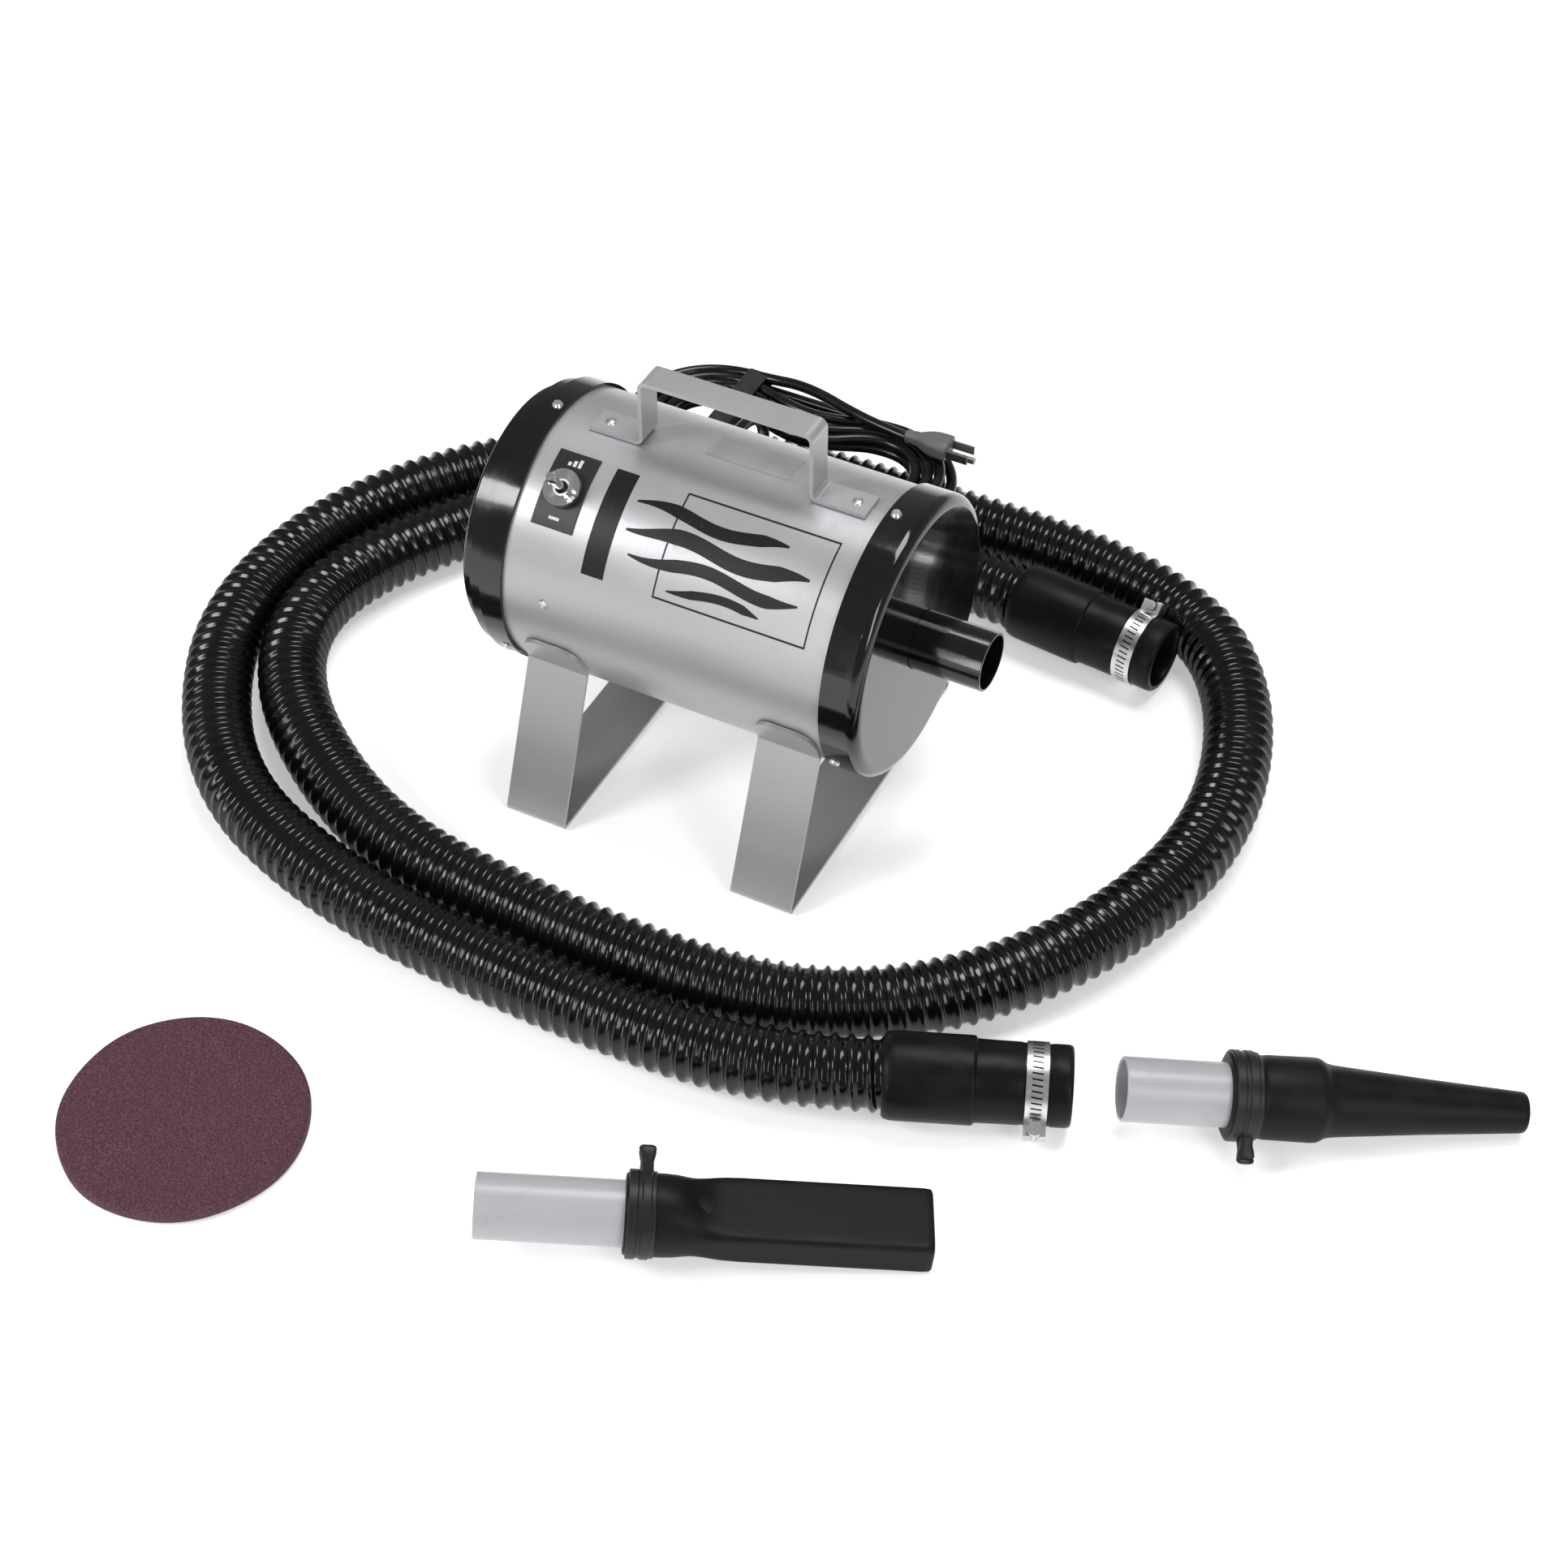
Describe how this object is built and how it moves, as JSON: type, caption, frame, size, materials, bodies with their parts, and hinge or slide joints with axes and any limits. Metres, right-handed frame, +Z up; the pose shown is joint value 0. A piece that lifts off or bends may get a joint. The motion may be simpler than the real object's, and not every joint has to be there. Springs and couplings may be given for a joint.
{
  "type": "pet dryer",
  "caption": "Drum-shaped forced-air pet dryer on strap legs, with carry handle, toggle switch, corrugated hose, cord, cone and flat nozzles and a foam filter.",
  "frame": {"origin": "on the floor under the middle of the drum, midway between the legs' sides", "axes": "+X along the drum towards the air outlet, +Y away from the switch side, +Z up"},
  "size_m": [0.9413, 0.8005, 0.2887],
  "materials": {
    "drum_paint": "satin silver-grey paint",
    "handle_paint": "satin silver-grey paint",
    "leg_paint": "satin silver-grey paint",
    "front_cap_black": "gloss black",
    "rear_cap_black": "gloss black",
    "outlet_black": "gloss black",
    "plain_steel": "plain",
    "screw_steel": "plated",
    "rivet_steel": "plated",
    "gasket_rubber": "matte",
    "motor_steel": "zinc",
    "bright_steel": "ground",
    "laminated_steel": "laminated",
    "copper": "enamelled copper",
    "brush_plastic": "moulded",
    "impeller_aluminium": "plain",
    "switch_plate_black": "satin black",
    "switch_chrome": "polished",
    "switch_steel": "plated",
    "lever_chrome": "polished",
    "gland_rubber": "matte",
    "cord_black": "satin",
    "tie_fabric": "woven",
    "plug_grey": "moulded",
    "plug_brass": "plated",
    "hose_black": "gloss black, corrugated",
    "cuff_rubber": "satin",
    "clamp_steel": "brushed",
    "clamp_screw_steel": "plated",
    "pipe_grey": "smooth",
    "nozzle_rubber": "matte",
    "nozzle_clamp_black": "moulded",
    "foam_maroon": "open-cell foam"
  },
  "bodies": {
    "dryer": {"housing_shell": "drum_paint", "handle_strap": "handle_paint", "front_leg": "leg_paint", "rear_leg": "leg_paint", "front_cap": "front_cap_black", "rear_cap": "rear_cap_black", "outlet_tube": "outlet_black", "intake_grille": "plain_steel", "motor_bulkhead": "plain_steel", "front_cap_screw_1": "screw_steel", "front_cap_screw_2": "screw_steel", "front_cap_screw_3": "screw_steel", "rear_cap_screw_1": "screw_steel", "rear_cap_screw_2": "screw_steel", "rear_cap_screw_3": "screw_steel", "handle_rivet_1": "rivet_steel", "handle_rivet_2": "rivet_steel", "drum_rivet": "rivet_steel", "motor_gasket": "gasket_rubber", "fan_housing": "motor_steel", "motor_can": "motor_steel", "front_bearing": "bright_steel", "rear_bearing": "bright_steel", "stator_core": "laminated_steel", "field_coil_1": "copper", "field_coil_2": "copper", "brush_holder_1": "brush_plastic", "brush_holder_2": "brush_plastic", "switch_plate": "switch_plate_black", "switch_nut": "switch_chrome", "switch_body": "switch_steel", "toggle_pin": "switch_steel", "cord_gland": "gland_rubber", "power_cord": "cord_black", "cord_tail": "cord_black", "cord_hank": "cord_black", "cord_tie": "tie_fabric", "plug_body": "plug_grey", "plug_blade_1": "plug_brass", "plug_blade_2": "plug_brass", "plug_ground_pin": "plug_brass", "air_hose": "hose_black", "hose_cuff_a": "cuff_rubber", "hose_cuff_b": "cuff_rubber", "clamp_band_a": "clamp_steel", "clamp_band_b": "clamp_steel"},
    "rotor": {"rotor_shaft": "bright_steel", "armature_core": "laminated_steel", "commutator": "copper", "impeller": "impeller_aluminium"},
    "lever": {"toggle_lever": "lever_chrome"},
    "clamp_screw_a": {"clamp_screw_a": "clamp_screw_steel"},
    "clamp_screw_b": {"clamp_screw_b": "clamp_screw_steel"},
    "cone_nozzle": {"cone_tube": "pipe_grey", "cone_rubber": "nozzle_rubber", "cone_clamp": "nozzle_clamp_black"},
    "flat_nozzle": {"flat_tube": "pipe_grey", "flat_rubber": "nozzle_rubber", "flat_clamp": "nozzle_clamp_black"},
    "foam": {"foam_filter": "foam_maroon"}
  },
  "joints": [
    {"name": "rotor_spin", "type": "hinge", "parent": "dryer", "child": "rotor", "pos_m": [0, 0, 0.151], "axis": [1, 0, 0], "continuous": true},
    {"name": "switch_toggle", "type": "hinge", "parent": "dryer", "child": "lever", "pos_m": [-0.08305, -0.05219, 0.22554], "axis": [1, 0, 0], "range_deg": [-14, 14]},
    {"name": "clamp_a_turn", "type": "hinge", "parent": "dryer", "child": "clamp_screw_a", "pos_m": [0.21575, 0.20534, 0.04733], "axis": [0.0756, 0.7031, -0.7071], "continuous": true},
    {"name": "clamp_b_turn", "type": "hinge", "parent": "dryer", "child": "clamp_screw_b", "pos_m": [0.31492, -0.21816, 0.01405], "axis": [0.1606, -0.3909, 0.9063], "continuous": true},
    {"name": "cone_nozzle_lift", "type": "slide", "parent": "dryer", "child": "cone_nozzle", "axis": [0, 0, 1], "range_m": [0, 0.25]},
    {"name": "flat_nozzle_lift", "type": "slide", "parent": "dryer", "child": "flat_nozzle", "axis": [0, 0, 1], "range_m": [0, 0.25]},
    {"name": "foam_lift", "type": "slide", "parent": "dryer", "child": "foam", "axis": [0, 0, 1], "range_m": [0, 0.25]}
  ]
}
